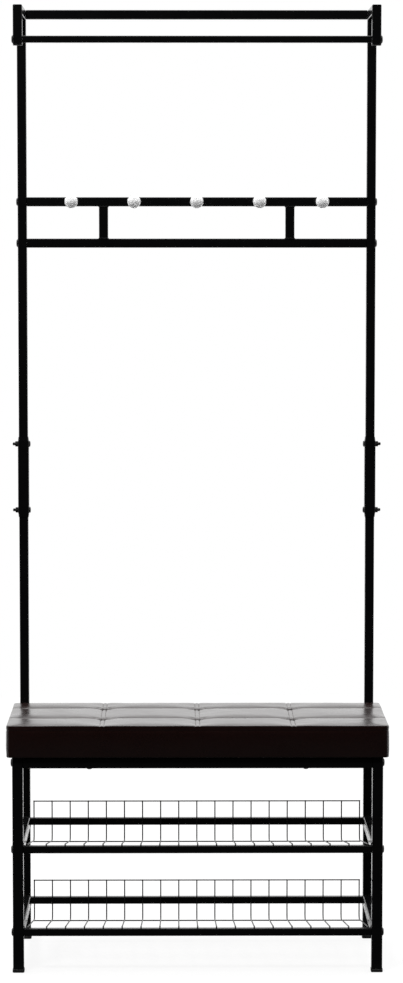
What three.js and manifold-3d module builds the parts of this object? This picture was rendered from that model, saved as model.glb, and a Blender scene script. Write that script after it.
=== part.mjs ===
// Hall tree: a square-tube steel hall stand with a padded bench, two wire shoe shelves,
// five ball hooks and a garment rod. It is bolted together and nothing on it moves.
// Millimetres, +Z up, the front faces -Y, and the origin is on the floor under the middle.

import * as THREE from "three";
import { mergeVertices } from "three/addons/utils/BufferGeometryUtils.js";
import Module from "manifold-3d";

const wasm = await Module();
wasm.setup();

// Overall sizes
const HEIGHT = 1800;
const FRAME_WIDTH = 690; // over the outer faces of the legs
const LEG_SPACING = 300; // front leg axis to rear leg axis
const SEAT_HEIGHT = 405.5; // top of the seat rails

// Tubes: outer side of the square, wall and corner radius
const LEG_TUBE = 20;
const LEG_WALL = 1;
const POST_WALL = 1.2;
const SHELF_TUBE = 14;
const ROD_TUBE = 13;
const THIN_WALL = 1;
const CORNER = 1.6;

// Fits
const TOUCH = 0.3; // gap kept between two faces that touch
const SLIP = 0.25; // clearance of a tube or plug on each side of its socket
const BOLT_CLEARANCE = 0.3; // clearance of a bolt in its hole

// Rear posts
const SOCKET_HEIGHT = 35; // rear leg standing up past the seat rails, as the post's socket
const POST_INSERT = 60;
const JOINT_HEIGHT = 906.5; // where the lower and upper posts meet
const SLEEVE_LENGTH = 155;
const SLEEVE_WALL = 1.6;
const SLEEVE_TAPER = 8;
const SLEEVE_LIP = 0.6; // wall left at the end of the taper
const SLEEVE_BOLT_INSET = 13.5;

// Bolts
const BOLT_D = 6;
const HEAD_D = 12;
const HEAD_THICK = 2.6;
const NUT_D = 11;
const NUT_THICK = 5;
const THREAD_END = 5;

// Top bracket, rear rail and garment rod
const BRACKET_REACH = 152; // post axis to drop axis
const DROP_LENGTH = 73;
const ROD_DROP = 64; // top of the stand to the rod's axis
const SPIGOT_LENGTH = 40;

// Hook frame
const HOOK_RAIL_HEIGHT = 1436;
const HOOK_RAIL_GAP = 79; // axis to axis of its two rails
const HOOK_UPRIGHT_X = 179;
const HOOK_COUNT = 5;
const HOOK_PITCH = 120;
const HOOK_REACH = 30; // rail face to ball centre
const BALL_D = 25.5;
const STEM_D = 6;
const STEM_BORE_DEPTH = 8;
const FLANGE_D = 14;
const FLANGE_THICK = 2.5;

// Shoe shelves
const SHELF_HEIGHTS = { upper: 232, lower: 75.5 }; // axis of each shelf's rails
const WIRE_D = 2.4;
const WIRE_SIDES = 6;
const WIRE_BITE = 0.7; // depth that two crossing wires are welded into each other
const WIRE_COUNT = 19;
const PANEL_MARGIN = 6; // wire panel to each leg
const GUARD_ABOVE = 42; // rail axis up to the guard's top wire
const FLOOR_BELOW = 35; // rail axis down to the lowest point of the floor wires
const BEND_RADIUS = 12;
const BEND_STEPS = 4;
const FLOOR_END = 9; // length of floor wire lying on the front rail

// Seat
const SEAT_SIDE_OVERHANG = 11; // past the legs on each side
const SEAT_FRONT_OVERHANG = 8; // past the front legs
const SEAT_REAR_GAP = 1.5; // to the rear legs
const SEAT_THICK = 60;
const SEAT_CORNER = 12;
const SEAT_CORNER_LINES = 6;
const COVER_WALL = 1.2;
const COVER_HEM = 18;
const BOARD_THICK = 12;

// Plastic plugs
const FOOT_RIM = 1; // past the leg on each side
const FOOT_THICK = 6;
const PLUG_THICK = 2;
const PLUG_DEPTH = 14;
const PLUG_CHAMFER = 1;

// Sizes and places that follow
const POST_TUBE = LEG_TUBE - 2 * (LEG_WALL + SLIP);
const SLEEVE_BORE = POST_TUBE + 2 * SLIP;
const SLEEVE_TUBE = SLEEVE_BORE + 2 * SLEEVE_WALL;
const LEG_X = (FRAME_WIDTH - LEG_TUBE) / 2;
const SEAT_WIDTH = FRAME_WIDTH + 2 * SEAT_SIDE_OVERHANG;
const MIDDLE_Y = (SEAT_FRONT_OVERHANG - FOOT_RIM) / 2;
const FRONT_Y = MIDDLE_Y - LEG_SPACING / 2;
const REAR_Y = MIDDLE_Y + LEG_SPACING / 2;
const SEAT_RAIL_Z = SEAT_HEIGHT - LEG_TUBE / 2;
const SOCKET_TOP = SEAT_HEIGHT + SOCKET_HEIGHT;
const DROP_Y = REAR_Y - BRACKET_REACH;
const SIDES = { left: -1, right: 1 };

// Finishes
const blackPaint = new THREE.MeshStandardMaterial({ color: 0x0b0b0c, roughness: 0.38, metalness: 0.2 });
const blackPlastic = new THREE.MeshStandardMaterial({ color: 0x101010, roughness: 0.55, metalness: 0 });
const blackZinc = new THREE.MeshStandardMaterial({ color: 0x151515, roughness: 0.4, metalness: 0.8 });
const wireFinish = new THREE.MeshStandardMaterial({ color: 0x3a3a3c, roughness: 0.25, metalness: 0.9 });
const chrome = new THREE.MeshStandardMaterial({ color: 0xc8c8cc, roughness: 0.12, metalness: 1 });
const acrylic = new THREE.MeshStandardMaterial({ color: 0xf1f1f4, roughness: 0.08, metalness: 0 });
const leather = new THREE.MeshStandardMaterial({ color: 0x24100c, roughness: 0.42, metalness: 0 });
const foam = new THREE.MeshStandardMaterial({ color: 0xe8dfb8, roughness: 0.95, metalness: 0 });
const board = new THREE.MeshStandardMaterial({ color: 0xa98457, roughness: 0.85, metalness: 0 });

const hallTree = new THREE.Group();

function add(name, geometry, material, x, y, z) {
  const mesh = new THREE.Mesh(geometry, material);
  mesh.name = name;
  mesh.position.set(x, y, z);
  hallTree.add(mesh);
  return mesh;
}

// Booleans ---------------------------------------------------------------------------------

function solid(geometry) {
  const bare = geometry.clone();
  bare.deleteAttribute("normal");
  bare.deleteAttribute("uv");
  const merged = mergeVertices(bare, 1e-4);
  const index = merged.index.array;
  const kept = [];
  for (let i = 0; i < index.length; i += 3) {
    const [a, b, c] = [index[i], index[i + 1], index[i + 2]];
    if (a !== b && b !== c && c !== a) kept.push(a, b, c);
  }
  const vertProperties = new Float32Array(merged.attributes.position.array);
  return new wasm.Manifold(new wasm.Mesh({ numProp: 3, vertProperties, triVerts: new Uint32Array(kept) }));
}

function geometryOf(manifold) {
  const mesh = manifold.getMesh();
  const geometry = new THREE.BufferGeometry();
  geometry.setAttribute("position", new THREE.BufferAttribute(new Float32Array(mesh.vertProperties), 3));
  geometry.setIndex(new THREE.BufferAttribute(new Uint32Array(mesh.triVerts), 1));
  geometry.computeVertexNormals();
  return geometry;
}

function cut(geometry, ...tools) {
  return geometryOf(tools.reduce((whole, tool) => whole.subtract(solid(tool)), solid(geometry)));
}

function join(geometry, ...others) {
  return geometryOf(others.reduce((whole, other) => whole.add(solid(other)), solid(geometry)));
}

// Shapes -----------------------------------------------------------------------------------

function roundedRectangle(width, depth, radius) {
  const x = width / 2;
  const y = depth / 2;
  const shape = new THREE.Shape();
  shape.moveTo(x - radius, -y);
  shape.absarc(x - radius, radius - y, radius, -Math.PI / 2, 0);
  shape.absarc(x - radius, y - radius, radius, 0, Math.PI / 2);
  shape.absarc(radius - x, y - radius, radius, Math.PI / 2, Math.PI);
  shape.absarc(radius - x, radius - y, radius, Math.PI, 1.5 * Math.PI);
  shape.closePath();
  return shape;
}

function squareOutline(side) {
  const h = side / 2;
  const corners = [[-h, -h], [h, -h], [h, h], [-h, h]];
  return new THREE.Path(corners.map(([x, y]) => new THREE.Vector2(x, y)));
}

// An arc in an outline is drawn with twice curveSegments lines.
function prism(shape, height, cornerLines = 2) {
  const curveSegments = cornerLines / 2;
  return new THREE.ExtrudeGeometry(shape, { depth: height, bevelEnabled: false, curveSegments });
}

// A square tube standing on the XY plane.
function squareTube(side, wall, length) {
  const section = roundedRectangle(side, side, CORNER);
  section.holes.push(squareOutline(side - 2 * wall));
  return prism(section, length);
}

// A square turned piece: the profile gives [half side, height] pairs, closed on the axis or on itself.
function squareTurned(profile) {
  const points = profile.map(([half, z]) => new THREE.Vector2(half * Math.SQRT2, z));
  return new THREE.LatheGeometry(points, 4).rotateX(Math.PI / 2).rotateZ(Math.PI / 4);
}

function roundTurned(profile, segments) {
  const points = profile.map(([radius, z]) => new THREE.Vector2(radius, z));
  return new THREE.LatheGeometry(points, segments).rotateX(Math.PI / 2);
}

// A hole along X through a standing tube, at the height z.
function crossHole(side, z) {
  const radius = BOLT_D / 2 + BOLT_CLEARANCE;
  return new THREE.CylinderGeometry(radius, radius, 2 * side, 12).rotateZ(Math.PI / 2).translate(0, 0, z);
}

// Tubes placed by their ends: x, y and z hold a number, or a [from, to] pair along the tube.
function addTube(name, side, wall, x, y, z, material = blackPaint) {
  if (Array.isArray(z)) return add(name, squareTube(side, wall, z[1] - z[0]), material, x, y, z[0]);
  if (Array.isArray(x)) {
    const tube = add(name, squareTube(side, wall, x[1] - x[0]), material, x[0], y, z);
    tube.rotation.y = Math.PI / 2;
    return tube;
  }
  const tube = add(name, squareTube(side, wall, y[1] - y[0]), material, x, y[0], z);
  tube.rotation.x = -Math.PI / 2;
  return tube;
}

// A rail between two uprights whose axes are at -x and +x.
function addCrossRail(name, side, wall, uprightX, uprightTube, y, z) {
  const end = uprightX - uprightTube / 2 - TOUCH;
  return addTube(name, side, wall, [-end, end], y, z);
}

// Side frames: legs, feet and the rails that run front to back -----------------------------

function addFoot(name, x, y) {
  const rim = LEG_TUBE / 2 + FOOT_RIM;
  const plug = LEG_TUBE / 2 - LEG_WALL - SLIP;
  const top = FOOT_THICK + PLUG_DEPTH;
  const profile = [
    [0, 0], [rim - PLUG_CHAMFER, 0], [rim, PLUG_CHAMFER], [rim, FOOT_THICK], [plug, FOOT_THICK],
    [plug, top], [0, top],
  ];
  add(name, squareTurned(profile), blackPlastic, x, y, 0);
}

function addSideFrame(side, sign) {
  const x = sign * LEG_X;
  const foot = FOOT_THICK + TOUCH;
  addTube(`front_leg_${side}`, LEG_TUBE, LEG_WALL, x, FRONT_Y, [foot, SEAT_HEIGHT]);
  addTube(`rear_leg_${side}`, LEG_TUBE, LEG_WALL, x, REAR_Y, [foot, SOCKET_TOP]);
  addFoot(`front_foot_${side}`, x, FRONT_Y);
  addFoot(`rear_foot_${side}`, x, REAR_Y);

  const y = [FRONT_Y + LEG_TUBE / 2 + TOUCH, REAR_Y - LEG_TUBE / 2 - TOUCH];
  addTube(`seat_side_rail_${side}`, LEG_TUBE, LEG_WALL, x, y, SEAT_RAIL_Z);
  for (const [level, z] of Object.entries(SHELF_HEIGHTS)) {
    addTube(`${level}_shelf_side_rail_${side}`, LEG_TUBE, LEG_WALL, x, y, z);
  }
}

// Rear posts -------------------------------------------------------------------------------

const SLEEVE_BOTTOM = JOINT_HEIGHT - SLEEVE_LENGTH / 2;
const SLEEVE_TOP = JOINT_HEIGHT + SLEEVE_LENGTH / 2;
const LOWER_BOLT_Z = SLEEVE_BOTTOM + SLEEVE_BOLT_INSET;
const UPPER_BOLT_Z = SLEEVE_TOP - SLEEVE_BOLT_INSET;
const ARM_UNDERSIDE = HEIGHT - POST_TUBE;

function addPost(name, x, bottom, top, holeZ) {
  const tube = squareTube(POST_TUBE, POST_WALL, top - bottom);
  add(name, cut(tube, crossHole(POST_TUBE, holeZ - bottom)), blackPaint, x, REAR_Y, bottom);
}

function addSleeve(name, x) {
  const bore = SLEEVE_BORE / 2;
  const outer = SLEEVE_TUBE / 2;
  const lip = bore + SLEEVE_LIP;
  const profile = [
    [bore, 0], [lip, 0], [outer, SLEEVE_TAPER], [outer, SLEEVE_LENGTH - SLEEVE_TAPER],
    [lip, SLEEVE_LENGTH], [bore, SLEEVE_LENGTH], [bore, 0],
  ];
  const holes = [LOWER_BOLT_Z, UPPER_BOLT_Z].map((z) => crossHole(SLEEVE_TUBE, z - SLEEVE_BOTTOM));
  add(name, cut(squareTurned(profile), ...holes), blackPaint, x, REAR_Y, SLEEVE_BOTTOM);
}

// A bolt along X with its head on the inner side of the sleeve and its nut on the outer side.
function addSleeveBolt(name, sign, z) {
  const seat = SLEEVE_TUBE / 2 + TOUCH;
  const shank = BOLT_D / 2;
  const end = seat + NUT_THICK + THREAD_END;
  const crown = -seat - HEAD_THICK;
  const bolt = roundTurned([
    [0, crown], [HEAD_D / 4, crown + 0.15 * HEAD_THICK], [HEAD_D / 2.4, crown + 0.5 * HEAD_THICK],
    [HEAD_D / 2, -seat], [shank, -seat], [shank, end - 1], [shank - 1, end], [0, end],
  ], 16);
  const nut = new THREE.CylinderGeometry(NUT_D / 2, NUT_D / 2, NUT_THICK, 6)
    .rotateX(Math.PI / 2).translate(0, 0, seat + NUT_THICK / 2);
  const mesh = add(name, join(bolt, nut), blackZinc, sign * LEG_X, REAR_Y, z);
  mesh.rotation.y = sign * Math.PI / 2;
}

function addPosts(side, sign) {
  const x = sign * LEG_X;
  addPost(`lower_post_${side}`, x, SOCKET_TOP - POST_INSERT, JOINT_HEIGHT - TOUCH / 2, LOWER_BOLT_Z);
  addPost(`upper_post_${side}`, x, JOINT_HEIGHT + TOUCH / 2, ARM_UNDERSIDE - TOUCH, UPPER_BOLT_Z);
  addSleeve(`post_sleeve_${side}`, x);
  addSleeveBolt(`sleeve_bolt_lower_${side}`, sign, LOWER_BOLT_Z);
  addSleeveBolt(`sleeve_bolt_upper_${side}`, sign, UPPER_BOLT_Z);
}

// Top brackets -----------------------------------------------------------------------------

// Everything in front of (sign -1) or behind (sign 1) the 45 degree plane down from the front top corner.
function mitreTool(sign) {
  const size = 4 * POST_TUBE;
  const tool = new THREE.BoxGeometry(size, size, size).translate(0, sign * (size / 2 - TOUCH / 2), 0);
  return tool.rotateX(Math.PI / 4).translate(0, DROP_Y - POST_TUBE / 2, HEIGHT);
}

// The arm lies on the post and is closed at the back, and its spigot goes down into the post.
function addBracket(side, sign) {
  const x = sign * LEG_X;
  const front = DROP_Y - POST_TUBE / 2;
  const back = REAR_Y + POST_TUBE / 2;
  const bore = POST_TUBE - 2 * POST_WALL;
  const armZ = HEIGHT - POST_TUBE / 2;
  const along = (geometry) => geometry.rotateX(-Math.PI / 2).translate(0, front, armZ);

  const block = along(prism(roundedRectangle(POST_TUBE, POST_TUBE, CORNER), back - front));
  const hollow = along(prism(new THREE.Shape(squareOutline(bore).getPoints()), back - front - POST_WALL));
  const spigotSide = bore - 2 * SLIP;
  const spigotTop = ARM_UNDERSIDE + POST_WALL / 2;
  const spigot = new THREE.BoxGeometry(spigotSide, spigotSide, SPIGOT_LENGTH)
    .translate(0, REAR_Y, spigotTop - SPIGOT_LENGTH / 2);
  const arm = join(cut(block, hollow, mitreTool(-1)), spigot);
  add(`bracket_arm_${side}`, arm, blackPaint, x, 0, 0);

  const bottom = HEIGHT - DROP_LENGTH;
  const drop = squareTube(POST_TUBE, POST_WALL, DROP_LENGTH).translate(0, DROP_Y, bottom);
  add(`bracket_drop_${side}`, cut(drop, mitreTool(1)), blackPaint, x, 0, 0);

  const rim = POST_TUBE / 2;
  const plug = bore / 2 - SLIP;
  const profile = [
    [0, 0], [rim - PLUG_CHAMFER, 0], [rim, PLUG_CHAMFER], [rim, PLUG_THICK], [plug, PLUG_THICK],
    [plug, PLUG_THICK + PLUG_DEPTH], [0, PLUG_THICK + PLUG_DEPTH],
  ];
  add(`drop_plug_${side}`, squareTurned(profile), blackPlastic, x, DROP_Y, bottom - PLUG_THICK - TOUCH);
}

// Hook frame -------------------------------------------------------------------------------

function addHookFrame() {
  const upper = HOOK_RAIL_HEIGHT;
  const lower = HOOK_RAIL_HEIGHT - HOOK_RAIL_GAP;
  addCrossRail("hook_rail_upper", POST_TUBE, POST_WALL, LEG_X, POST_TUBE, REAR_Y, upper);
  addCrossRail("hook_rail_lower", POST_TUBE, POST_WALL, LEG_X, POST_TUBE, REAR_Y, lower);
  const between = [lower + POST_TUBE / 2 + TOUCH, upper - POST_TUBE / 2 - TOUCH];
  for (const [side, sign] of Object.entries(SIDES)) {
    addTube(`hook_upright_${side}`, POST_TUBE, POST_WALL, sign * HOOK_UPRIGHT_X, REAR_Y, between);
  }
}

// A hook's stem and ball are turned about Z and then laid forward, along -Y.
function addHook(number, x) {
  const face = REAR_Y - POST_TUBE / 2 - TOUCH;
  const stemEnd = HOOK_REACH - BALL_D / 2 + STEM_BORE_DEPTH;
  const stem = roundTurned([
    [0, 0], [FLANGE_D / 2, 0], [FLANGE_D / 2, FLANGE_THICK / 2], [FLANGE_D / 2 - 1, FLANGE_THICK],
    [STEM_D / 2, FLANGE_THICK + 1], [STEM_D / 2, stemEnd - TOUCH], [0, stemEnd - TOUCH],
  ], 16);
  add(`hook_stem_${number}`, stem, chrome, x, face, HOOK_RAIL_HEIGHT).rotation.x = Math.PI / 2;

  const socket = STEM_D / 2 + TOUCH;
  const bore = new THREE.CylinderGeometry(socket, socket, 2 * STEM_BORE_DEPTH, 12)
    .rotateX(Math.PI / 2).translate(0, 0, -BALL_D / 2);
  const ball = cut(new THREE.SphereGeometry(BALL_D / 2, 20, 12).rotateX(Math.PI / 2), bore);
  const knob = add(`hook_ball_${number}`, ball, acrylic, x, face - HOOK_REACH, HOOK_RAIL_HEIGHT);
  knob.rotation.x = Math.PI / 2;
}

// Wire shelves -----------------------------------------------------------------------------

// A wire bent only at its knots, with a section on the bisector of each bend.
class BentWire extends THREE.Curve {
  constructor(knots) {
    super();
    this.knots = knots;
  }

  getPointAt(u) {
    return this.knots[Math.round(u * (this.knots.length - 1))].clone();
  }

  getTangentAt(u) {
    const i = Math.round(u * (this.knots.length - 1));
    const here = this.knots[i];
    const ahead = (this.knots[i + 1] ?? here).clone().sub(here).normalize();
    const behind = here.clone().sub(this.knots[i - 1] ?? here).normalize();
    return ahead.add(behind).normalize();
  }
}

function wire(knots) {
  const section = new THREE.Shape();
  section.absarc(0, 0, WIRE_D / 2, 0, 2 * Math.PI);
  const extrudePath = new BentWire(knots);
  return new THREE.ExtrudeGeometry(section, {
    steps: knots.length - 1, curveSegments: WIRE_SIDES / 2, bevelEnabled: false, extrudePath,
  });
}

function addWireShelf(level, railZ) {
  const halfPanel = LEG_X - LEG_TUBE / 2 - PANEL_MARGIN - WIRE_D / 2;
  const pitch = (2 * halfPanel) / (WIRE_COUNT - 1);
  const places = Array.from({ length: WIRE_COUNT }, (_, i) => i * pitch - halfPanel);

  const guardY = REAR_Y - SHELF_TUBE / 2 - TOUCH - WIRE_D / 2;
  const lowest = railZ - FLOOR_BELOW;
  const bendY = guardY - BEND_RADIUS;
  const bendZ = lowest + BEND_RADIUS;
  const frontY = FRONT_Y + SHELF_TUBE / 2;
  const frontZ = railZ + SHELF_TUBE / 2 + TOUCH + WIRE_D / 2;

  // The floor leaves the bend on the straight line that just touches the bend and meets the front rail.
  const reach = Math.hypot(bendY - frontY, frontZ - bendZ);
  const slope = Math.atan2(frontZ - bendZ, bendY - frontY) + Math.asin(BEND_RADIUS / reach);
  const bend = Array.from({ length: BEND_STEPS + 1 }, (_, i) => {
    const turn = (i / BEND_STEPS) * (Math.PI / 2 + slope);
    return [bendY + BEND_RADIUS * Math.cos(turn), bendZ - BEND_RADIUS * Math.sin(turn)];
  });
  const floorLine = [...bend, [frontY, frontZ], [frontY - FLOOR_END, frontZ]];

  const floorWires = places.map((x) => wire(floorLine.map(([y, z]) => new THREE.Vector3(x, y, z))));
  const lengthwise = (y, z) => {
    const end = halfPanel + WIRE_D;
    return wire([new THREE.Vector3(-end, y, z), new THREE.Vector3(end, y, z)]);
  };
  const [bendEndY, bendEndZ] = bend.at(-1);
  const cornerWire = lengthwise(bendEndY, bendEndZ - WIRE_D + WIRE_BITE);
  add(`${level}_shelf_floor`, join(cornerWire, ...floorWires), wireFinish, 0, 0, 0);

  const top = railZ + GUARD_ABOVE - WIRE_D / 2;
  const uprights = places.map((x) => wire([
    new THREE.Vector3(x, guardY, bendZ + TOUCH), new THREE.Vector3(x, guardY, top),
  ]));
  add(`${level}_shelf_guard`, join(lengthwise(guardY, top), ...uprights), wireFinish, 0, 0, 0);
}

function addShelf(level, railZ) {
  addCrossRail(`${level}_shelf_front_rail`, SHELF_TUBE, THIN_WALL, LEG_X, LEG_TUBE, FRONT_Y, railZ);
  addCrossRail(`${level}_shelf_rear_rail`, SHELF_TUBE, THIN_WALL, LEG_X, LEG_TUBE, REAR_Y, railZ);
  addWireShelf(level, railZ);
}

// Seat: a leatherette cover wrapped round a foam pad and a board ---------------------------

function addSeat() {
  const front = FRONT_Y - LEG_TUBE / 2 - SEAT_FRONT_OVERHANG;
  const back = REAR_Y - LEG_TUBE / 2 - SEAT_REAR_GAP;
  const depth = back - front;
  const middle = (front + back) / 2;
  const bottom = SEAT_HEIGHT + TOUCH;
  const slab = (inset, radius, from, to) => {
    const outline = roundedRectangle(SEAT_WIDTH - 2 * inset, depth - 2 * inset, radius);
    return prism(outline, to - from, SEAT_CORNER_LINES).translate(0, 0, from);
  };

  const innerCorner = SEAT_CORNER - COVER_WALL;
  const inside = slab(COVER_WALL, innerCorner, COVER_WALL, SEAT_THICK - COVER_WALL);
  const opening = slab(COVER_WALL + COVER_HEM, innerCorner, -COVER_WALL, 2 * COVER_WALL);
  const cover = cut(slab(0, SEAT_CORNER, 0, SEAT_THICK), inside, opening);
  add("seat_cover", cover, leather, 0, middle, bottom);

  const boardTop = COVER_WALL + TOUCH + BOARD_THICK;
  const fillInset = COVER_WALL + TOUCH;
  add("seat_board", slab(fillInset, innerCorner, COVER_WALL + TOUCH, boardTop), board, 0, middle, bottom);
  const foamTop = SEAT_THICK - COVER_WALL - TOUCH;
  add("seat_foam", slab(fillInset, innerCorner, boardTop + TOUCH, foamTop), foam, 0, middle, bottom);
}

// Assembly ---------------------------------------------------------------------------------

for (const [side, sign] of Object.entries(SIDES)) {
  addSideFrame(side, sign);
  addPosts(side, sign);
  addBracket(side, sign);
}
addCrossRail("seat_front_rail", LEG_TUBE, LEG_WALL, LEG_X, LEG_TUBE, FRONT_Y, SEAT_RAIL_Z);
addCrossRail("seat_rear_rail", LEG_TUBE, LEG_WALL, LEG_X, LEG_TUBE, REAR_Y, SEAT_RAIL_Z);
for (const [level, z] of Object.entries(SHELF_HEIGHTS)) addShelf(level, z);
addSeat();
addHookFrame();
for (let i = 0; i < HOOK_COUNT; i += 1) addHook(i + 1, (i - (HOOK_COUNT - 1) / 2) * HOOK_PITCH);
addCrossRail("top_rail", POST_TUBE, POST_WALL, LEG_X, POST_TUBE, REAR_Y, HEIGHT - POST_TUBE / 2);
addCrossRail("garment_rod", ROD_TUBE, THIN_WALL, LEG_X, POST_TUBE, DROP_Y, HEIGHT - ROD_DROP);

export default hallTree;
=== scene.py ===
import math

import bmesh
import bpy
import numpy as np
from mathutils import Matrix, Vector, noise
from mathutils.bvhtree import BVHTree


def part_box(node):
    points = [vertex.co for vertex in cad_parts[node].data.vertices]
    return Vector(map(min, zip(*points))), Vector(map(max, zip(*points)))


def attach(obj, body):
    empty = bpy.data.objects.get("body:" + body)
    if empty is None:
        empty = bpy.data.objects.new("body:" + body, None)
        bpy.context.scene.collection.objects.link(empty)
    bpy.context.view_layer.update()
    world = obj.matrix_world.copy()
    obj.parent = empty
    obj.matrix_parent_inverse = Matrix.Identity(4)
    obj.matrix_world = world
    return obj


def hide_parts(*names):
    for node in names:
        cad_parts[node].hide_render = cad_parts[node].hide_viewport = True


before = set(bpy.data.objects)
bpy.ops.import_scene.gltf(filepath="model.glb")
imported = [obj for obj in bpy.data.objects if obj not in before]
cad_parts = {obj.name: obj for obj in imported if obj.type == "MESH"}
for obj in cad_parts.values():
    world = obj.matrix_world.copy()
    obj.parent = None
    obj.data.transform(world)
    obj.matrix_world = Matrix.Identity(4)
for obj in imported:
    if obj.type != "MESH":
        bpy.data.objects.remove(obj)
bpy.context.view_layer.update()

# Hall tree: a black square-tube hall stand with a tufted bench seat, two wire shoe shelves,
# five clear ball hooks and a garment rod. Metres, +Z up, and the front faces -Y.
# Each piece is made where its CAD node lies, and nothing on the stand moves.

BODY = "root"
SIDES = {"left": -1, "right": 1}
LEVELS = ("upper", "lower")
TURN = 2 * math.pi

# Tubes
LEG_WALL = 0.0010
POST_WALL = 0.0012
THIN_WALL = 0.0010
SLEEVE_WALL = 0.0016
SLEEVE_LIP = 0.0006  # wall left at the mouth of a sleeve
SLEEVE_TAPER = 0.0080
TUBE_CORNER = 0.0022  # outer corner radius of every square tube
CORNER_STEPS = 6
CUT_EDGE = 0.0003  # burr taken off a sawn tube end
CLOSED_EDGE = 0.0010  # round edge of a closed tube end
MITRE_GAP = 0.0001
SPIGOT_PLAY = 0.00025

# Fasteners
HEAD_RADIUS = 0.0072
HEAD_RISE = 0.0030
WASHER_RADIUS = 0.0080
WASHER_THICK = 0.0007
SHANK_RADIUS = 0.0030
HEX_HALF = 0.0020  # half the width of the key socket
HEX_DEPTH = 0.0020
SCREW_RADIUS = 0.0050
SCREW_RISE = 0.0024
SCREW_SHARE = 0.62  # of half the seat rail, from its middle to a seat screw
THREAD_PITCH = 0.0010
THREAD_CORE = 0.0026
THREAD_TIP = 0.0015
THREAD_LEAD = 0.0008  # chamfered end of the thread
NUT_HALF = 0.0050  # half the width over the nut's flats
NUT_THICK = 0.0050
NUT_FACE = 0.0005  # height of the round faces at both ends of the nut
SLEEVE_GAP = 0.0003  # between the sleeve and its bolts
SLEEVE_HEAD_RISE = 0.0026

# Welds
BEAD_RADIUS = 0.0011
BEAD_RIPPLES = 34
STEPS_PER_RIPPLE = 4

# Hooks
STEM_RADIUS = 0.0030
STEM_GROOVES = 9
GROOVE_DEPTH = 0.0005
GROOVES_FROM = 0.0125  # from the rail to the first groove
BALL_BORE = 0.0033
BALL_RINGS = 27

# Wire shelves
WIRE_COUNT = 19
BEND_RADIUS = 0.012
FLOOR_BELOW = 0.035  # rail axis to the lowest point of the floor wires
WIRE_BITE = 0.0007
WELD_DOT = 0.0018

# Seat
SEAT_START_INSET = 0.0004  # the pad's walls start this much inside the cover's and swell out
SEAT_TOP_PROUD = 0.0014  # and its top this much above the cover's
SEAT_EDGE = 0.0030
SEAT_CORNER = 0.0090
SWELL_CAP = 0.0024
MESH_STEP = 0.0060
CHANNEL_SHARES = (0.34, 0.77)  # of the seat's depth, from its front
CHANNEL_DEPTH = 0.0026
CHANNEL_HALF = 0.0048
CROSS_DEPTH = 0.0016
CROSS_GAP = 0.0075  # between the two stitched lines of a cross seam
CROSS_HALF = 0.0120
RIM_PLAIN = 0.012  # the sewing is at its shallowest this near the rim
RIM_FADE = 0.020  # and reaches its full depth over this width
RIM_QUILTING = 0.25
TUFT_DEPTH = 0.0046
PUCKER_LONG = 0.0165  # a tuft's pucker runs along its channel
PUCKER_DEEP = 0.0075
DISH_DEPTH = 0.0008
DISH_REACH = 0.0260
BUTTON_RADIUS = 0.0082
BUTTON_RISE = 0.0056
BUTTON_LIFT = 0.0010  # edge of the button above the cover round it
WELL_DEPTH = 0.0052  # hollow pulled in round each button
WELL_LONG = 0.0180
WELL_NEAR = 0.0140  # it runs out gently towards the front
WELL_FAR = 0.0050  # and stops at the pleat behind
LEG_CLEARANCE = 0.0004  # between the pad's back and the rear legs
FOLD_DEPTH = 0.0020  # sharp fold along the channel on both sides of a button
FOLD_LONG = 0.0200
FOLD_DEEP = 0.0024
HEM_WIDTH = 0.018
BOARD_ABOVE = 0.0022  # the closed base lies this far above the hem, inside the board
BOARD_INSET = 0.006
STITCH_LENGTH = 0.0034
STITCH_PITCH = 0.0045
STITCH_MARGIN = 0.010  # from the rim to the end of a seam
STAPLE_PITCH = 0.028
CREASE_DEPTH = 0.0016  # of a channel, sharper than the simulated mesh can hold
CREASE_HALF = 0.0016
CROSS_CREASE_DEPTH = 0.0011
CROSS_CREASE_HALF = 0.0013
FAN_DEPTH = 0.0007  # small folds that run out from each button
FAN_FOLDS = 7
UNEVEN = 0.0005
EDGE_SEAM_BELOW = 0.0085  # the seam that joins the top to the walls
EDGE_SEAM_DEPTH = 0.0009


# Node trees ---------------------------------------------------------------------------------


class Signal:
    """An output socket that can be written into sums. Each operator adds one Math node."""

    def __init__(self, nodes, socket):
        self.nodes = nodes
        self.socket = socket

    def _math(self, operation, first, second):
        return self.nodes.node("ShaderNodeMath", {"operation": operation}, {0: first, 1: second})

    def __add__(self, other):
        return self._math("ADD", self, other)

    def __radd__(self, other):
        return self._math("ADD", other, self)

    def __sub__(self, other):
        return self._math("SUBTRACT", self, other)

    def __rsub__(self, other):
        return self._math("SUBTRACT", other, self)

    def __mul__(self, other):
        return self._math("MULTIPLY", self, other)

    def __rmul__(self, other):
        return self._math("MULTIPLY", other, self)

    def __neg__(self):
        return self._math("MULTIPLY", self, -1.0)


class Nodes:
    """Makes the nodes of one tree."""

    def __init__(self, tree):
        self.tree = tree

    def node(self, kind, settings=None, inputs=None, out=0):
        made = self.tree.nodes.new(kind)
        for key, value in (settings or {}).items():
            if key == "stops":
                set_stops(made.color_ramp, value)
            else:
                setattr(made, key, value)
        for key, value in (inputs or {}).items():
            for item in value if isinstance(value, list) else [value]:
                if isinstance(item, Signal):
                    self.tree.links.new(item.socket, made.inputs[key])
                else:
                    made.inputs[key].default_value = item
        return Signal(self, made.outputs[out])


def set_stops(ramp, stops):
    while len(ramp.elements) < len(stops):
        ramp.elements.new(0.5)
    for element, (position, colour) in zip(ramp.elements, stops):
        element.position = position
        element.color = colour if len(colour) == 4 else (*colour, 1)


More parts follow.
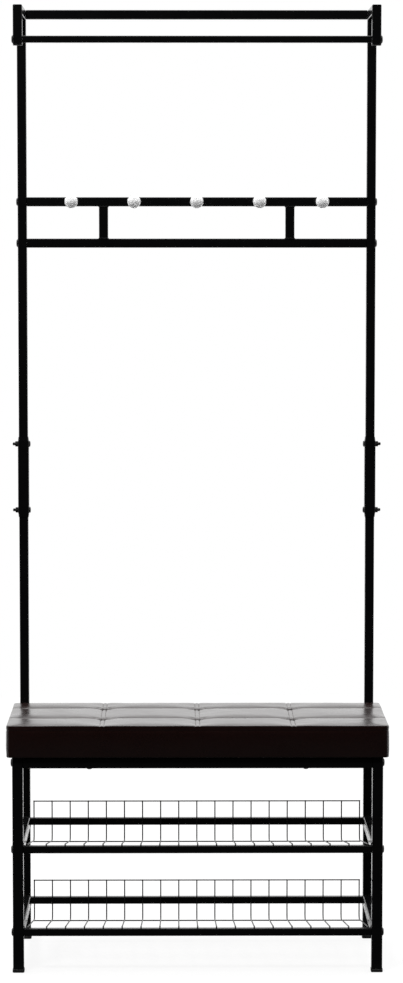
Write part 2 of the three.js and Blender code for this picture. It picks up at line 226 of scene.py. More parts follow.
class Finish(Nodes):
    """A material on one Principled shader. Constants sit on the shader's own sockets."""

    def __init__(self, name, slot=None, **constants):
        self.material = bpy.data.materials.new(name)
        self.material.use_nodes = True
        super().__init__(self.material.node_tree)
        self.tree.nodes.clear()
        self.shader = self.tree.nodes.new("ShaderNodeBsdfPrincipled")
        output = self.tree.nodes.new("ShaderNodeOutputMaterial")
        self.tree.links.new(self.shader.outputs[0], output.inputs[0])
        for key, value in constants.items():
            self.shader.inputs[key.replace("_", " ")].default_value = value
        self.place = self.node("ShaderNodeTexCoord", out="Object")

    def feed(self, socket, signal):
        self.tree.links.new(signal.socket, self.shader.inputs[socket])

    def speckle(self, scale, detail=3.0, roughness=0.5):
        inputs = {"Vector": self.place, "Scale": scale, "Detail": detail, "Roughness": roughness}
        return self.node("ShaderNodeTexNoise", {}, inputs, out=0)

    def cells(self, scale, feature="F1", out="Distance"):
        inputs = {"Vector": self.place, "Scale": scale}
        return self.node("ShaderNodeTexVoronoi", {"feature": feature}, inputs, out=out)

    def spread(self, signal, low, high, to_low, to_high):
        """The stretch of a signal from low to high, laid over to_low to to_high."""
        inputs = {"Value": signal, 1: low, 2: high, 3: to_low, 4: to_high}
        return self.node("ShaderNodeMapRange", {}, inputs)

    def blend(self, factor, first, second):
        """The first colour where the factor is 0 and the second where it is 1."""
        ends = [c if isinstance(c, Signal) or len(c) == 4 else (*c, 1) for c in (first, second)]
        inputs = {0: factor, 6: ends[0], 7: ends[1]}
        return self.node("ShaderNodeMix", {"data_type": "RGBA"}, inputs, out=2)

    def relief(self, height, depth, strength=1.0):
        """Bumps of the given depth in metres where the height signal runs from 0 to 1."""
        inputs = {"Height": height, "Distance": depth, "Strength": strength}
        self.feed("Normal", self.node("ShaderNodeBump", {}, inputs))


def black_paint():
    """Gloss black powder coat with a fine orange peel and a little dust in its gloss."""
    finish = Finish("black_paint", IOR=1.5, Specular_IOR_Level=0.18)
    dust = finish.speckle(38.0, 4.0)
    peel = finish.speckle(850.0, 2.0)
    finish.feed("Base Color", finish.blend(dust, (0.0028, 0.0028, 0.0031), (0.0050, 0.0050, 0.0052)))
    finish.feed("Roughness", finish.spread(dust, 0.3, 0.7, 0.13, 0.22))
    finish.relief(peel, 0.00002, 0.25)
    return finish.material


def black_plastic():
    """Moulded black plastic with a spark-eroded grain, scuffed in patches all over."""
    finish = Finish("black_plastic", IOR=1.46)
    grain = finish.cells(1900.0)
    scuff = finish.speckle(160.0, 5.0, 0.65)
    finish.feed("Base Color", finish.blend(scuff, (0.0080, 0.0080, 0.0082), (0.0200, 0.0200, 0.0205)))
    finish.feed("Roughness", finish.spread(scuff, 0.3, 0.7, 0.42, 0.62))
    finish.relief(grain, 0.00006, 0.6)
    return finish.material


def black_zinc():
    """Black zinc on bolts and staples, thin and a little patchy."""
    finish = Finish("black_zinc")
    patch = finish.speckle(420.0, 4.0, 0.6)
    finish.feed("Base Color", finish.blend(patch, (0.012, 0.012, 0.013), (0.045, 0.044, 0.043)))
    finish.feed("Metallic", finish.spread(patch, 0.3, 0.7, 0.95, 0.75))
    finish.feed("Roughness", finish.spread(patch, 0.3, 0.7, 0.26, 0.42))
    finish.relief(patch, 0.00002, 0.5)
    return finish.material


def shelf_wire():
    """Black coat on drawn wire: dark head on, bright at a low angle, with faint drawing marks."""
    finish = Finish("shelf_wire", Specular_IOR_Level=0.35)
    cloud = finish.speckle(60.0, 3.0)
    draw = finish.speckle(1400.0, 2.0)
    finish.feed("Base Color", finish.blend(cloud, (0.004, 0.004, 0.0044), (0.009, 0.009, 0.0088)))
    finish.feed("Metallic", finish.spread(draw, 0.2, 0.8, 0.40, 0.25))
    finish.feed("Roughness", finish.spread(draw, 0.3, 0.7, 0.34, 0.44))
    finish.relief(draw, 0.00001, 0.4)
    return finish.material


def chrome():
    """Bright chrome with faint wiping marks."""
    finish = Finish("chrome")
    haze = finish.speckle(300.0, 4.0)
    finish.feed("Base Color", finish.blend(haze, (0.70, 0.70, 0.72), (0.82, 0.82, 0.83)))
    finish.feed("Metallic", finish.spread(haze, 0.0, 1.0, 1.0, 0.97))
    finish.feed("Roughness", finish.spread(haze, 0.3, 0.7, 0.05, 0.13))
    finish.relief(haze, 0.000008, 0.5)
    return finish.material


def clear_acrylic():
    """Cast acrylic, milky with a little clear depth, and slow waves in its skin."""
    finish = Finish("clear_acrylic", IOR=1.49, Transmission_Weight=0.15, Subsurface_Weight=0.9,
                    Subsurface_Scale=0.015, Subsurface_Radius=(1, 1, 1))
    haze = finish.speckle(240.0, 3.0)
    waves = finish.speckle(120.0, 1.0)
    finish.feed("Base Color", finish.blend(haze, (0.95, 0.95, 0.96), (1.0, 1.0, 1.0)))
    finish.feed("Roughness", finish.spread(haze, 0.3, 0.7, 0.015, 0.05))
    finish.relief(waves, 0.0004, 0.35)
    return finish.material


def leatherette():
    """Dark brown coated leatherette: pebbled grain, darker in its valleys, with slow changes of shade."""
    dark, light = (0.0085, 0.0018, 0.0013), (0.0140, 0.0036, 0.0027)
    finish = Finish("leatherette", IOR=1.5, Coat_Weight=0.6, Coat_Roughness=0.25)
    pebble = finish.cells(1050.0, "SMOOTH_F1")
    crease = finish.cells(520.0, "DISTANCE_TO_EDGE")
    pores = finish.speckle(2600.0, 2.0)
    shade = finish.speckle(14.0, 4.0)
    valley = finish.spread(crease, 0.0, 0.12, 0.0, 1.0)
    body = finish.blend(shade, dark, light)
    finish.feed("Base Color", finish.blend(valley, tuple(0.55 * c for c in dark), body))
    rough = finish.spread(shade, 0.3, 0.7, 0.23, 0.31)
    finish.feed("Roughness", rough + 0.04 * pores)
    height = 0.55 * pebble + 0.35 * valley + 0.10 * pores
    finish.relief(height, 0.00006, 0.35)
    return finish.material


def sewing_thread():
    """Dark brown twisted polyester thread."""
    finish = Finish("sewing_thread", slot="leatherette", Sheen_Weight=0.2)
    ply = finish.node("ShaderNodeTexWave", {}, {"Vector": finish.place, "Scale": 700.0, "Distortion": 2.0})
    finish.feed("Base Color", finish.blend(ply, (0.016, 0.007, 0.005), (0.045, 0.020, 0.015)))
    finish.feed("Roughness", finish.spread(ply, 0.0, 1.0, 0.75, 0.5))
    finish.relief(ply, 0.0001, 0.6)
    return finish.material


def fibreboard():
    """Raw fibreboard: fine pale fibres pressed flat, with darker flecks."""
    finish = Finish("fibreboard")
    stretched = finish.node("ShaderNodeMapping", {}, {"Vector": finish.place, "Scale": (1.0, 0.25, 1.0)})
    fibres = finish.node("ShaderNodeTexNoise", {}, {"Vector": stretched, "Scale": 520.0, "Detail": 6.0})
    flecks = finish.cells(240.0)
    body = finish.blend(fibres, (0.26, 0.155, 0.075), (0.50, 0.34, 0.19))
    fleck = finish.spread(flecks, 0.05, 0.16, 0.45, 0.0)
    finish.feed("Base Color", finish.blend(fleck, body, (0.11, 0.060, 0.030)))
    finish.feed("Roughness", finish.spread(fibres, 0.3, 0.7, 0.78, 0.92))
    finish.relief(fibres, 0.0002, 0.5)
    return finish.material


PAINT = black_paint()
PLASTIC = black_plastic()
ZINC = black_zinc()
WIRE = shelf_wire()
CHROME = chrome()
ACRYLIC = clear_acrylic()
LEATHER = leatherette()
THREAD = sewing_thread()
BOARD = fibreboard()


# Shapes -------------------------------------------------------------------------------------

X, Y, Z = Vector((1, 0, 0)), Vector((0, 1, 0)), Vector((0, 0, 1))
AXES = {"x": (Y, Z, X), "y": (Z, X, Y), "z": (X, Y, Z)}


class Form:
    """The points and faces of one piece while it is being made."""

    def __init__(self):
        self.points = []
        self.faces = []

    def skin(self, rings, hollow=False):
        """Joins rings of points, each anticlockwise about the way the skin's outside runs.
        A hollow skin comes back to its first ring, and any other has a face at each end."""
        first = len(self.points)
        size = len(rings[0])
        for ring in rings:
            self.points.extend(ring)
        for k in range(len(rings) if hollow else len(rings) - 1):
            a = first + k * size
            b = first + (k + 1) % len(rings) * size
            for i in range(size):
                j = (i + 1) % size
                self.faces.append((a + i, a + j, b + j, b + i))
        if not hollow:
            last = first + (len(rings) - 1) * size
            self.faces.append(tuple(first + i for i in reversed(range(size))))
            self.faces.append(tuple(last + i for i in range(size)))

    def mesh(self, name, finish, sharp=35.0):
        mesh = bpy.data.meshes.new(name)
        mesh.from_pydata(self.points, [], self.faces)
        mesh.polygons.foreach_set("use_smooth", [True] * len(mesh.polygons))
        mesh.set_sharp_from_angle(angle=math.radians(sharp))
        mesh.materials.append(finish)
        return mesh


def rounded_rectangle(width, depth, corner):
    """(u, v) points of a rectangle with round corners, anticlockwise."""
    u, v = width / 2 - corner, depth / 2 - corner
    points = []
    for quarter, (su, sv) in enumerate([(1, 1), (-1, 1), (-1, -1), (1, -1)]):
        for step in range(CORNER_STEPS + 1):
            turn = (quarter + step / CORNER_STEPS) * math.pi / 2
            points.append((su * u + corner * math.cos(turn), sv * v + corner * math.sin(turn)))
    return points


def rounded_square(half, corner=TUBE_CORNER):
    """The same for a square that is twice `half` wide."""
    return rounded_rectangle(2 * half, 2 * half, corner)


def circle(radius, steps=24):
    return [(radius * math.cos(TURN * i / steps), radius * math.sin(TURN * i / steps)) for i in range(steps)]


def hexagon(half, steps=24):
    """A hexagon that is twice `half` wide over its flats, with as many points as a circle."""
    points = []
    for i in range(steps):
        turn = TURN * i / steps
        off_flat = (turn + math.pi / 6) % (math.pi / 3) - math.pi / 6
        radius = half / math.cos(off_flat)
        points.append((radius * math.cos(turn), radius * math.sin(turn)))
    return points


def ring(outline, axis, middle, along, slope=(0.0, 0.0)):
    """An outline set square to an axis at the distance `along`, or tilted by a slope in u or v."""
    u, v, w = AXES[axis]
    su, sv = slope
    return [middle + a * u + b * v + (along + su * a + sv * b) * w for a, b in outline]


def stack(form, axis, middle, profile, hollow=False):
    """A skin through (outline, distance) or (outline, distance, slope) steps along an axis."""
    form.skin([ring(step[0], axis, middle, *step[1:]) for step in profile], hollow)


def link(name, mesh):
    piece = bpy.data.objects.new(name, mesh)
    bpy.context.scene.collection.objects.link(piece)
    return piece


def keep(piece, *nodes, weighted=True):
    """Puts a finished piece on the stand in place of its CAD nodes."""
    if weighted:
        piece.modifiers.new("flat_faces_first", "WEIGHTED_NORMAL").keep_sharp = True
    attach(piece, BODY)
    finish = next(filter(None, piece.data.materials))
    if nodes:
        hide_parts(*nodes)
    return piece


def keep_form(form, node, finish, sharp=35.0, weighted=True):
    """Makes the finer piece that stands for one CAD node."""
    keep(link(f"{node}_fine", form.mesh(node, finish, sharp)), node, weighted=weighted)


def centre_of(node):
    low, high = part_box(node)
    return (low + high) / 2


def long_axis(low, high):
    size = high - low
    return max(zip(size, "xyz"))[1]


def along_axis(vector, axis):
    return vector["xyz".index(axis)]


def flatten_on(vector, axis):
    flat = vector.copy()
    flat["xyz".index(axis)] = 0
    return flat


def square_tube(node, wall):
    """A sawn length of round-cornered square tube, open at both ends."""
    low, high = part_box(node)
    axis = long_axis(low, high)
    half = min(high - low) / 2
    start, end = along_axis(low, axis), along_axis(high, axis)
    inner = rounded_square(half - wall, TUBE_CORNER - wall)
    eased = rounded_square(half - CUT_EDGE, TUBE_CORNER - CUT_EDGE)
    outer = rounded_square(half)
    form = Form()
    middle = flatten_on((low + high) / 2, axis)
    stack(form, axis, middle, [
        (inner, start), (eased, start), (outer, start + CUT_EDGE),
        (outer, end - CUT_EDGE), (eased, end), (inner, end),
    ], hollow=True)
    keep_form(form, node, PAINT)


# Geometry Nodes -----------------------------------------------------------------------------


def geometry_tree(name, inputs):
    """A tree with the named inputs, each given as (socket type, first value)."""
    tree = bpy.data.node_groups.new(name, "GeometryNodeTree")
    tree.interface.new_socket("Geometry", in_out="INPUT", socket_type="NodeSocketGeometry")
    for label, (kind, value) in inputs.items():
        socket = tree.interface.new_socket(label, in_out="INPUT", socket_type=f"NodeSocket{kind}")
        if value is not None:
            socket.default_value = value
    tree.interface.new_socket("Geometry", in_out="OUTPUT", socket_type="NodeSocketGeometry")
    nodes = Nodes(tree)
    group_in = tree.nodes.new("NodeGroupInput")
    given = {socket.name: Signal(nodes, socket) for socket in group_in.outputs if socket.name}
    return tree, nodes, given


def end_tree(nodes, geometry, material):
    """Every tree ends in real mesh with its material on it."""
    real = nodes.node("GeometryNodeRealizeInstances", {}, {"Geometry": geometry})
    made = nodes.node("GeometryNodeSetMaterial", {}, {"Geometry": real, "Material": material})
    group_out = nodes.tree.nodes.new("NodeGroupOutput")
    nodes.tree.links.new(made.socket, group_out.inputs["Geometry"])


def grow(name, tree, values, start=None):
    """Runs a tree on a start mesh and leaves its result as a plain mesh."""
    piece = link(name, start or bpy.data.meshes.new(name))
    modifier = piece.modifiers.new("grow", "NODES")
    modifier.node_group = tree
    sockets = {
        item.name: item.identifier for item in tree.interface.items_tree if item.in_out == "INPUT"
    }
    for label, value in values.items():
        modifier[sockets[label]] = value
    depsgraph = bpy.context.evaluated_depsgraph_get()
    mesh = bpy.data.meshes.new_from_object(piece.evaluated_get(depsgraph))
    piece.modifiers.clear()
    piece.data = mesh
    return piece


def set_out_tree():
    """Copies one piece to every point, its Z along the point's aim and its X along the point's run."""
    tree, nodes, given = geometry_tree("set_out", {
        "Piece": ("Object", None), "Material": ("Material", None),
        "Size": ("Float", 1.0), "Loose Turn": ("Float", 0.0), "Seed": ("Int", 1),
    })
    aim = nodes.node("GeometryNodeInputNamedAttribute", {"data_type": "FLOAT_VECTOR"}, {"Name": "aim"})
    run = nodes.node("GeometryNodeInputNamedAttribute", {"data_type": "FLOAT_VECTOR"}, {"Name": "run"})
    upright = nodes.node("FunctionNodeAlignRotationToVector", {"axis": "Z"}, {"Vector": aim})
    turned = nodes.node(
        "FunctionNodeAlignRotationToVector", {"axis": "X", "pivot_axis": "Z"},
        {"Rotation": upright, "Vector": run},
    )
    loose = nodes.node(
        "FunctionNodeRandomValue", {"data_type": "FLOAT"},
        {2: -given["Loose Turn"], 3: given["Loose Turn"], "Seed": given["Seed"]}, out=1,
    )
    spin = nodes.node("ShaderNodeCombineXYZ", {}, {"Z": loose})
    rotation = nodes.node(
        "FunctionNodeRotateRotation", {"rotation_space": "LOCAL"}, {"Rotation": turned, "Rotate By": spin}
    )
    piece = nodes.node("GeometryNodeObjectInfo", {}, {"Object": given["Piece"]}, out="Geometry")
    copies = nodes.node("GeometryNodeInstanceOnPoints", {}, {
        "Points": given["Geometry"], "Instance": piece, "Rotation": rotation, "Scale": given["Size"],
    })
    end_tree(nodes, copies, given["Material"])
    return tree


def places_mesh(places):
    """Points that each carry an aim and a run, given as (point, aim, run)."""
    mesh = bpy.data.meshes.new("places")
    mesh.from_pydata([p for p, _, _ in places], [], [])
    for index, label in ((1, "aim"), (2, "run")):
        attribute = mesh.attributes.new(label, "FLOAT_VECTOR", "POINT")
        flat = [value for place in places for value in place[index]]
        attribute.data.foreach_set("vector", flat)
    return mesh


SET_OUT = set_out_tree()


def set_out(name, sample, finish, places, loose=0.0, seed=1):
    """One piece made of copies of a sample mesh, set out at the places."""
    pattern = link(f"{name}_pattern", sample)
    values = {"Piece": pattern, "Material": finish, "Size": 1.0, "Loose Turn": loose, "Seed": seed}
    piece = grow(name, SET_OUT, values, places_mesh(places))
    bpy.data.objects.remove(pattern)
    keep(piece, weighted=False)


# Frame: legs, rails, posts and brackets -----------------------------------------------------


def make_tubes():
    for side in SIDES:
        for node in (f"front_leg_{side}", f"rear_leg_{side}", f"seat_side_rail_{side}",
                     f"upper_shelf_side_rail_{side}", f"lower_shelf_side_rail_{side}"):
            square_tube(node, LEG_WALL)
        for node in (f"lower_post_{side}", f"upper_post_{side}", f"hook_upright_{side}"):
            square_tube(node, POST_WALL)
    for node in ("seat_front_rail", "seat_rear_rail"):
        square_tube(node, LEG_WALL)
    for node in ("hook_rail_upper", "hook_rail_lower", "top_rail"):
        square_tube(node, POST_WALL)
    for level in LEVELS:
        square_tube(f"{level}_shelf_front_rail", THIN_WALL)
        square_tube(f"{level}_shelf_rear_rail", THIN_WALL)
    square_tube("garment_rod", THIN_WALL)


def make_sleeve(side):
    """The joining sleeve of a post, swaged in at both ends so that its corners fold to small facets."""
    node = f"post_sleeve_{side}"
    low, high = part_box(node)
    half = (high.x - low.x) / 2
    bore = half - SLEEVE_WALL
    inside = rounded_square(bore, 0.0012)
    mouth = rounded_square(bore + SLEEVE_LIP, 0.0040)
    folded = rounded_square(half - 0.0004, 0.0034)
    full = rounded_square(half, 0.0024)
    fold = 0.75 * SLEEVE_TAPER
    steps = [
        (inside, low.z), (mouth, low.z), (folded, low.z + fold), (full, low.z + SLEEVE_TAPER),
        (full, high.z - SLEEVE_TAPER), (folded, high.z - fold), (mouth, high.z), (inside, high.z),
    ]
    form = Form()
    stack(form, "z", flatten_on((low + high) / 2, "z"), steps, hollow=True)
    keep_form(form, node, PAINT, sharp=12.0)


def make_bracket(side):
    """The arm is closed at the back and mitred onto the drop at the front."""
    arm, drop = f"bracket_arm_{side}", f"bracket_drop_{side}"
    arm_low, arm_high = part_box(arm)
    drop_low, drop_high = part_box(drop)
    half = (arm_high.x - arm_low.x) / 2
    x = centre_of(arm).x
    top = arm_high.z
    drop_y = (drop_low.y + drop_high.y) / 2
    inner = rounded_square(half - POST_WALL, TUBE_CORNER - POST_WALL)
    outer = rounded_square(half)
    eased = rounded_square(half - CLOSED_EDGE, TUBE_CORNER - 0.0004)
    mitre = (-1.0, 0.0)
    back = arm_high.y
    form = Form()
    stack(form, "y", Vector((x, 0, top - half)), [
        (inner, back - POST_WALL), (inner, drop_y + MITRE_GAP, mitre), (outer, drop_y + MITRE_GAP, mitre),
        (outer, back - CLOSED_EDGE), (eased, back),
    ])
    spigot = half - POST_WALL - SPIGOT_PLAY
    stack(form, "z", Vector((x, back - half, 0)), [
        (rounded_square(spigot - 0.0008, 0.0012), arm_low.z),
        (rounded_square(spigot, 0.0015), arm_low.z + 0.002),
        (rounded_square(spigot, 0.0015), top - 2 * half + POST_WALL / 2),
    ])
    keep_form(form, arm, PAINT)

    form = Form()
    mitre = (0.0, -1.0)
    mitre_z = top - half - MITRE_GAP
    stack(form, "z", Vector((x, drop_y, 0)), [
        (inner, drop_low.z), (rounded_square(half - CUT_EDGE, TUBE_CORNER), drop_low.z),
        (outer, drop_low.z + CUT_EDGE), (outer, mitre_z, mitre), (inner, mitre_z, mitre),
    ], hollow=True)
    keep_form(form, drop, PAINT)


def make_plug(node, cap_thick, flare):
    """A ribbed plastic plug: a round-edged cap outside the tube and a finned stem inside it."""
    low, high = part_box(node)
    half = (high.x - low.x) / 2
    stem = half - flare
    top = low.z + cap_thick
    edge = min(0.0010, cap_thick / 3)
    fins = [
        (rounded_square(stem - 0.0006 * (k % 2), 0.0012), top + (high.z - top) * k / 6) for k in range(7)
    ]
    steps = [
        (rounded_square(half - 0.0024, 0.0016), low.z + 0.0004),
        (rounded_square(half - 0.0020, 0.0018), low.z),
        (rounded_square(half - edge, 0.0024), low.z),
        (rounded_square(half - 0.3 * edge, 0.0026), low.z + 0.3 * edge),
        (rounded_square(half, 0.0028), low.z + edge),
        (rounded_square(half, 0.0028), top - 0.4 * edge),
        (rounded_square(half - 0.4 * edge, 0.0025), top),
        *fins,
    ]
    form = Form()
    stack(form, "z", flatten_on((low + high) / 2, "z"), steps)
    keep_form(form, node, PLASTIC)


# Bolts and welds ----------------------------------------------------------------------------


def dome_steps(base, radius, rise):
    """The dome of a bolt head with its hexagon key socket, from the seat up."""
    rim = 0.12 * rise
    steps = [(circle(SHANK_RADIUS), base), (circle(radius), base), (circle(radius), base + rim)]
    mouth = 1.35 * HEX_HALF
    for k in range(1, 6):
        turn = k / 6 * math.pi / 2
        reach = mouth + (radius - mouth) * math.cos(turn)
        steps.append((circle(reach), base + rim + (rise - rim) * math.sin(turn)))
    crown = base + rise
    steps += [
        (circle(1.32 * HEX_HALF), crown), (hexagon(HEX_HALF), crown - 0.0003),
        (hexagon(0.97 * HEX_HALF), crown - HEX_DEPTH),
    ]
    return steps


def bolt_sample(radius=HEAD_RADIUS, rise=HEAD_RISE, washer=True):
    """A dome head on its washer, seated at the origin and facing +Z."""
    form = Form()
    base = 0.0
    if washer:
        edge = 0.0002
        stack(form, "z", Vector(), [
            (circle(WASHER_RADIUS - edge), 0.0), (circle(WASHER_RADIUS), edge),
            (circle(WASHER_RADIUS), WASHER_THICK - edge), (circle(WASHER_RADIUS - edge), WASHER_THICK),
        ])
        base = WASHER_THICK
    shank_end = (circle(SHANK_RADIUS), base - 0.0014)
    stack(form, "z", Vector(), [shank_end, *dome_steps(base, radius, rise - base)])
    return form.mesh("bolt", ZINC)


def joint_bolts():
    """Bolts through the legs, posts and drops into the ends of the cross rails."""
    places = []
    rails = {
        "front_leg": ("seat_front_rail", "upper_shelf_front_rail", "lower_shelf_front_rail"),
        "rear_leg": ("seat_rear_rail", "upper_shelf_rear_rail", "lower_shelf_rear_rail"),
        "upper_post": ("hook_rail_upper", "hook_rail_lower"),
        "bracket_drop": ("garment_rod",),
    }
    for side, sign in SIDES.items():
        for upright, ends in rails.items():
            low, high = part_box(f"{upright}_{side}")
            face = high.x if sign > 0 else low.x
            for rail in ends:
                middle = centre_of(rail)
                places.append((Vector((face, middle.y, middle.z)), Vector((sign, 0, 0)), Z))
    set_out("joint_bolts", bolt_sample(), ZINC, places, loose=math.pi, seed=4)


def seat_screws():
    """Screws up through the seat rails into the seat board."""
    places = []
    for rail in ("seat_front_rail", "seat_rear_rail"):
        low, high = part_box(rail)
        middle = (low + high) / 2
        for share in (-SCREW_SHARE, SCREW_SHARE):
            places.append((Vector((share * high.x, middle.y, low.z)), -Z, X))
    sample = bolt_sample(SCREW_RADIUS, SCREW_RISE, washer=False)
    set_out("seat_screws", sample, ZINC, places, loose=math.pi, seed=9)


def thread_tree():
    """A screw thread: a sharp little section swept along a helix about Z."""
    tree, nodes, given = geometry_tree("screw_thread", {
        "Radius": ("Float", 0.003), "Pitch": ("Float", 0.001), "Turns": ("Float", 5.0),
        "Material": ("Material", None),
    })
    height = given["Pitch"] * given["Turns"]
    helix = nodes.node("GeometryNodeCurveSpiral", {}, {
        "Resolution": 20, "Rotations": given["Turns"], "Start Radius": given["Radius"],
        "End Radius": given["Radius"], "Height": height,
    })
    section = nodes.node(
        "GeometryNodeCurvePrimitiveCircle", {"mode": "RADIUS"},
        {"Resolution": 4, "Radius": 0.5 * given["Pitch"]},
    )
    swept = nodes.node(
        "GeometryNodeCurveToMesh", {}, {"Curve": helix, "Profile Curve": section, "Fill Caps": True}
    )
    end_tree(nodes, swept, given["Material"])
    return tree


def make_sleeve_bolts():
    """Each bolt has its dome head on the inner side and its nut and thread end on the outer side."""
    tree = thread_tree()
    for level in ("lower", "upper"):
        for side, sign in SIDES.items():
            node = f"sleeve_bolt_{level}_{side}"
            low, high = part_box(node)
            sleeve_low, sleeve_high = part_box(f"post_sleeve_{side}")
            half = (sleeve_high.x - sleeve_low.x) / 2
            centre = centre_of(node)
            centre.x = centre_of(f"post_sleeve_{side}").x
            place = Matrix.Translation(centre) @ Matrix.Rotation(-sign * math.pi / 2, 4, "Y")
            reach = high.x - centre.x if sign > 0 else centre.x - low.x
            seat = half + SLEEVE_GAP
            nut_far = seat + NUT_THICK
            form = Form()
            stack(form, "z", Vector(), [
                (circle(THREAD_TIP), -reach), (circle(THREAD_CORE), -reach + THREAD_LEAD),
                (circle(THREAD_CORE), half), *dome_steps(seat, (high - low).y / 2, SLEEVE_HEAD_RISE)[1:],
            ])
            stack(form, "z", Vector(), [
                (circle(0.96 * NUT_HALF), -nut_far), (hexagon(NUT_HALF), -nut_far + NUT_FACE),
                (hexagon(NUT_HALF), -seat - NUT_FACE - 0.0001), (circle(1.1 * NUT_HALF), -seat - NUT_FACE),
                (circle(1.1 * NUT_HALF), -seat),
            ])
            bolt = link(f"{node}_fine", form.mesh(node, ZINC))
            turns = (reach - nut_far - THREAD_LEAD) / THREAD_PITCH
            thread = grow("thread", tree, {
                "Radius": THREAD_CORE, "Pitch": THREAD_PITCH, "Turns": turns, "Material": ZINC,
            })
            thread.data.transform(Matrix.Translation(Vector((0, 0, -reach + THREAD_LEAD))))
            join([bolt, thread])
            bolt.data.transform(place)
            keep(bolt, node)


def join(parts):
    """Adds the meshes of the later parts to the first one."""
    with bpy.context.temp_override(active_object=parts[0], selected_editable_objects=parts):
        bpy.ops.object.join()


def bead_tree():
    """A rippled weld bead laid round the outside of a square tube that ends at the XY plane."""
    tree, nodes, given = geometry_tree("weld_bead", {
        "Side": ("Float", 0.02), "Corner": ("Float", TUBE_CORNER), "Bead": ("Float", BEAD_RADIUS),
        "Ripples": ("Int", BEAD_RIPPLES), "Material": ("Material", None),
    })
    square = nodes.node("GeometryNodeCurvePrimitiveQuadrilateral", {"mode": "RECTANGLE"}, {
        "Width": given["Side"], "Height": given["Side"],
    })
    path = nodes.node("GeometryNodeFilletCurve", {"mode": "POLY"}, {
        "Curve": square, "Count": 4, "Radius": given["Corner"],
    })
    even = nodes.node("GeometryNodeResampleCurve", {"mode": "COUNT"}, {
        "Curve": path, "Count": given["Ripples"] * STEPS_PER_RIPPLE,
    })
    index = nodes.node("GeometryNodeInputIndex")
    wave = nodes.node("ShaderNodeMath", {"operation": "SINE"}, {0: index * (TURN / STEPS_PER_RIPPLE)})
    swell = nodes.node("ShaderNodeTexNoise", {}, {"Scale": 300.0, "Detail": 1.0})
    share = 0.85 + 0.16 * wave + 0.3 * swell
    sized = nodes.node("GeometryNodeSetCurveRadius", {}, {"Curve": even, "Radius": share})
    section = nodes.node(
        "GeometryNodeCurvePrimitiveCircle", {"mode": "RADIUS"}, {"Resolution": 8, "Radius": given["Bead"]}
    )
    scale = nodes.node("GeometryNodeInputRadius")
    swept = nodes.node(
        "GeometryNodeCurveToMesh", {}, {"Curve": sized, "Profile Curve": section, "Scale": scale}
    )
    smooth = nodes.node("GeometryNodeSetShadeSmooth", {}, {"Geometry": swept})
    end_tree(nodes, smooth, given["Material"])
    return tree


def weld_beads():
    """Beads where side rails meet legs and uprights meet hook rails."""
    tree = bead_tree()
    groups = {"leg": [], "post": []}
    for side in SIDES:
        for rail in ("seat", "upper_shelf", "lower_shelf"):
            low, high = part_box(f"{rail}_side_rail_{side}")
            middle = (low + high) / 2
            groups["leg"].append((Vector((middle.x, low.y, middle.z)), Y, X))
            groups["leg"].append((Vector((middle.x, high.y, middle.z)), Y, X))
        low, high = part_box(f"hook_upright_{side}")
        middle = (low + high) / 2
        groups["post"].append((Vector((middle.x, middle.y, low.z)), Z, X))
        groups["post"].append((Vector((middle.x, middle.y, high.z)), Z, X))
    for name, places in groups.items():
        node = {"leg": "seat_side_rail_left", "post": "hook_upright_left"}[name]
        low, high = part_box(node)
        sample = grow("bead", tree, {
            "Side": min(high - low), "Corner": TUBE_CORNER, "Bead": BEAD_RADIUS,
            "Ripples": BEAD_RIPPLES, "Material": PAINT,
        })
        mesh = sample.data
        bpy.data.objects.remove(sample)
        set_out(f"weld_beads_{name}", mesh, PAINT, places)


# Hooks --------------------------------------------------------------------------------------


def make_hook(number):
    """A chrome stem with a turned flange, grooved where the clear ball is screwed on."""
    stem, ball = f"hook_stem_{number}", f"hook_ball_{number}"
    low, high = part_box(stem)
    middle = (low + high) / 2
    base = Vector((middle.x, high.y, middle.z))
    length = high.y - low.y
    flange = (high.x - low.x) / 2
    turned = [
        (flange, 0.0), (flange, 0.0012), (flange - 0.0006, 0.0020), (flange - 0.0022, 0.0024),
        (flange - 0.0030, 0.0024), (0.0038, 0.0030), (0.0032, 0.0042), (STEM_RADIUS, 0.0060),
    ]
    for k in range(2 * STEM_GROOVES):
        share = k / (2 * STEM_GROOVES - 1)
        reach = STEM_RADIUS if k % 2 else STEM_RADIUS - GROOVE_DEPTH
        turned.append((reach, GROOVES_FROM + (length - GROOVES_FROM - 0.0010) * share))
    turned.append((0.0018, length))
    form = Form()
    form.skin([
        [base + Vector((u, -along, v)) for u, v in circle(radius, 28)] for radius, along in turned
    ])
    keep_form(form, stem, CHROME, sharp=40.0)

    low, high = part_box(ball)
    centre = (low + high) / 2
    radius = (high.x - low.x) / 2
    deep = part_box(stem)[0].y - 0.0003 - centre.y
    first = math.asin(BALL_BORE / radius)
    rings = [
        (0.25 * BALL_BORE, deep), (BALL_BORE, deep + 0.0008),
        (BALL_BORE, math.sqrt(radius**2 - BALL_BORE**2)),
    ]
    for k in range(BALL_RINGS):
        turn = first + (math.pi - first) * k / BALL_RINGS
        rings.append((radius * math.sin(turn), radius * math.cos(turn)))
    rings.append((0.03 * radius, -radius))
    form = Form()
    form.skin([
        [centre + Vector((u, along, v)) for u, v in circle(reach, 40)] for reach, along in rings
    ])
    keep_form(form, ball, ACRYLIC, sharp=40.0, weighted=False)


# Wire shelves -------------------------------------------------------------------------------


